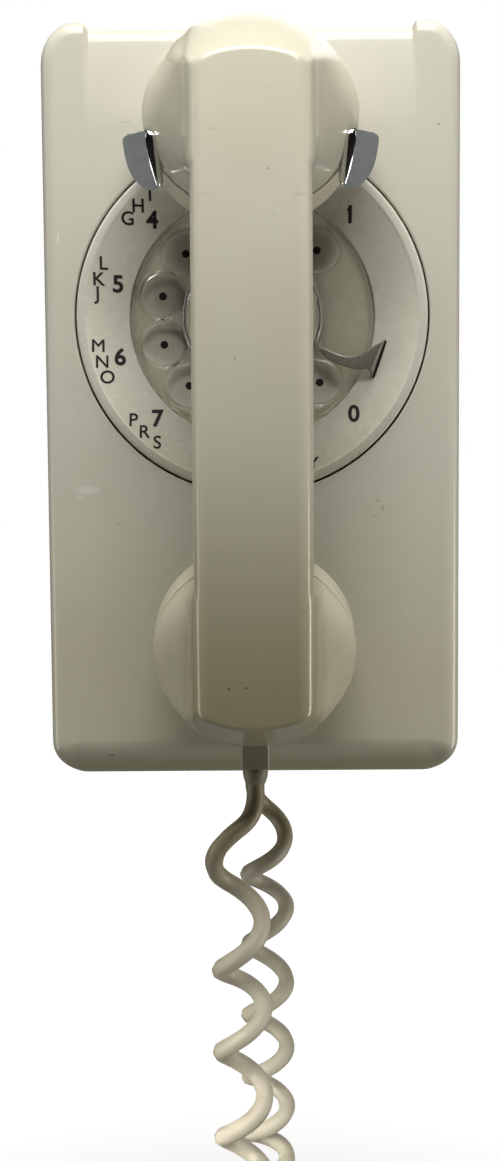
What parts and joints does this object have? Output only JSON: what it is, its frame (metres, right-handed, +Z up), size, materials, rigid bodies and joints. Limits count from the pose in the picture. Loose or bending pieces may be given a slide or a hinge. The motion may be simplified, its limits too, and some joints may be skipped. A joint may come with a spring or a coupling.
{
  "type": "wall rotary telephone",
  "caption": "Wall telephone with a rotary dial in a moulded housing on a steel base, a hung handset on a forked hook, a ringer and a curly cord.",
  "frame": {"origin": "middle of the two outlet-box screw holes, on the wall side of the base plate", "axes": "+X to the right seen from the front, +Y into the wall, +Z up"},
  "size_m": [0.1332, 0.137, 0.5235],
  "materials": {
    "ivory": "glossy",
    "clear": "clear glossy",
    "card": "paper card",
    "chrome": "bright plated",
    "base_paint": "satin enamel",
    "steel": "plain",
    "spring_steel": "oiled",
    "brass": "plain",
    "phenolic": "moulded",
    "black_plastic": "moulded",
    "copper_coil": "varnished wire",
    "can_paint": "satin",
    "rubber": "moulded",
    "cord_jacket": "vinyl"
  },
  "bodies": {
    "base": {"base_plate": "base_paint", "housing": "ivory", "housing_screw": "steel", "dial_bracket": "steel", "dial_frame": "steel", "number_plate": "ivory", "finger_stop": "chrome", "bearing_bridge": "steel", "dial_screws": "steel", "main_spring": "spring_steel", "pulse_contacts": "phenolic", "governor_cup": "brass", "network_case": "can_paint", "terminal_board": "phenolic", "terminal_screws": "brass", "ringer_frame": "steel", "ringer_coil": "copper_coil", "ringer_core": "steel", "ringer_magnet": "spring_steel", "gong_large": "brass", "gong_small": "brass", "gong_screws": "steel", "hook_bracket": "steel", "hook_pin": "steel", "hook_spring": "spring_steel", "hook_contacts": "phenolic", "cord_grommet": "rubber", "handset_cord": "cord_jacket"},
    "dial_wheel": {"finger_wheel": "clear", "card_holder": "clear", "number_card": "card", "main_shaft": "steel", "main_gear": "brass", "pulse_cam": "phenolic"},
    "idler": {"intermediate_gear": "brass"},
    "governor": {"governor_rotor": "brass"},
    "striker": {"clapper": "steel"},
    "loudness": {"volume_wheel": "black_plastic"},
    "hook": {"hook_yoke": "chrome"},
    "handset": {"handset_body": "ivory", "receiver_cap": "ivory", "transmitter_cap": "ivory", "receiver_unit": "steel", "transmitter_unit": "steel", "transmitter_cup": "black_plastic", "handset_boot": "rubber"}
  },
  "joints": [
    {"name": "dial_turn", "type": "hinge", "parent": "base", "child": "dial_wheel", "pos_m": [0, -0.064, 0.0275], "axis": [0, 1, 0], "range_deg": [0, 325], "stiffness_Nm_per_rad": 0.01, "springref_deg": -85.94},
    {"name": "idler_turn", "type": "hinge", "parent": "base", "child": "idler", "pos_m": [0.01773, -0.05, 0.00481], "axis": [0, 1, 0], "range_deg": [-1626, 0]},
    {"name": "governor_turn", "type": "hinge", "parent": "base", "child": "governor", "pos_m": [0.00266, -0.046, -0.0039], "axis": [0, 1, 0], "range_deg": [0, 7801]},
    {"name": "striker_swing", "type": "hinge", "parent": "base", "child": "striker", "pos_m": [0.001, -0.02, -0.066], "axis": [0, 1, 0], "range_deg": [-4, 4]},
    {"name": "loudness_turn", "type": "hinge", "parent": "base", "child": "loudness", "pos_m": [0.022, -0.038, -0.1103], "axis": [1, 0, 0], "range_deg": [0, 120]},
    {"name": "handset_lift", "type": "slide", "parent": "base", "child": "handset", "axis": [0, 0, 1], "range_m": [0, 0.09]},
    {"name": "hook_swing", "type": "hinge", "parent": "base", "child": "hook", "pos_m": [0, -0.022, 0.0905], "axis": [-1, 0, 0], "range_deg": [0, 7.01]}
  ],
  "couplings": [
    {"joint": "idler_turn", "follows": "dial_turn", "ratio": -5},
    {"joint": "governor_turn", "follows": "dial_turn", "ratio": 24},
    {"joint": "hook_swing", "follows": "handset_lift", "rad_per_m": 1.357}
  ]
}
